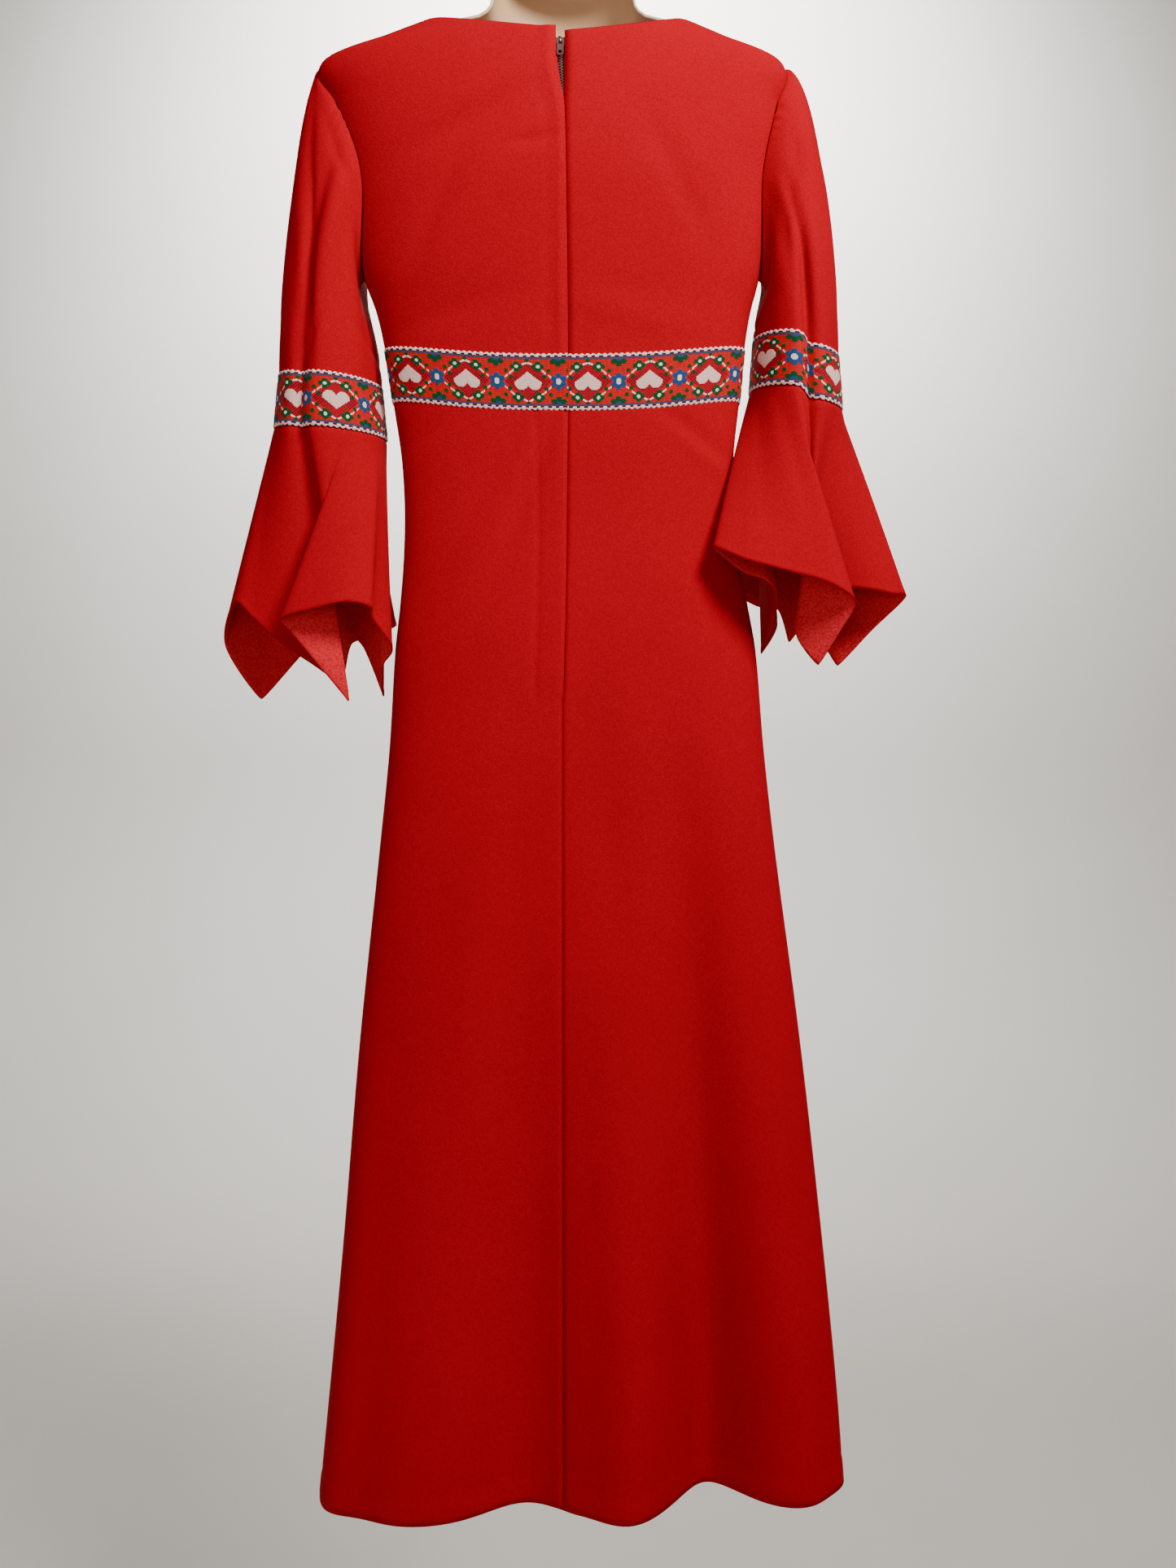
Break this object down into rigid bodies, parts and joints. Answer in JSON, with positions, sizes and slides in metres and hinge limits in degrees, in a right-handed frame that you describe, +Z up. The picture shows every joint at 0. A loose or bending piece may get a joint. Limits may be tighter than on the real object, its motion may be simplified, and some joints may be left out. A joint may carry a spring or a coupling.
{
  "type": "midi dress on a hanging torso form",
  "caption": "Red knit dress with an A-line skirt, a ribbon band at the waist and at each elbow, square sleeve flounces and a lapped back zip, on a hollow-backed torso form with a hook.",
  "frame": {"origin": "the underside of the hook's crown, where it hangs on a rail", "axes": "+Z up along the dress, the front of the dress faces -Y and its back zip +Y, +X is the wearer's left"},
  "size_m": [0.6002, 0.1854, 1.42],
  "materials": {
    "cloth": "matte textured knit",
    "ribbon": "woven, matte",
    "form": "satin",
    "metal": "satin",
    "zip_tape": "matte"
  },
  "bodies": {
    "dress": {"back_bodice_left": "cloth", "back_bodice_right": "cloth", "front_bodice": "cloth", "back_skirt_left": "cloth", "back_skirt_right": "cloth", "front_skirt": "cloth", "sleeve_left": "cloth", "sleeve_right": "cloth", "flounce_left": "cloth", "flounce_right": "cloth", "waist_ribbon": "ribbon", "sleeve_ribbon_left": "ribbon", "sleeve_ribbon_right": "ribbon", "torso_form": "form", "neck_cap": "form", "hook": "metal", "zip_chain": "metal", "zip_slider": "metal", "zip_tape": "zip_tape"},
    "pull_tab": {"zip_pull_tab": "metal"}
  },
  "joints": [
    {"name": "pull_tab_hinge", "type": "hinge", "parent": "dress", "child": "pull_tab", "pos_m": [0.0002, 0.04733, -0.17458], "axis": [1, 0, 0], "range_deg": [0, 150]}
  ]
}
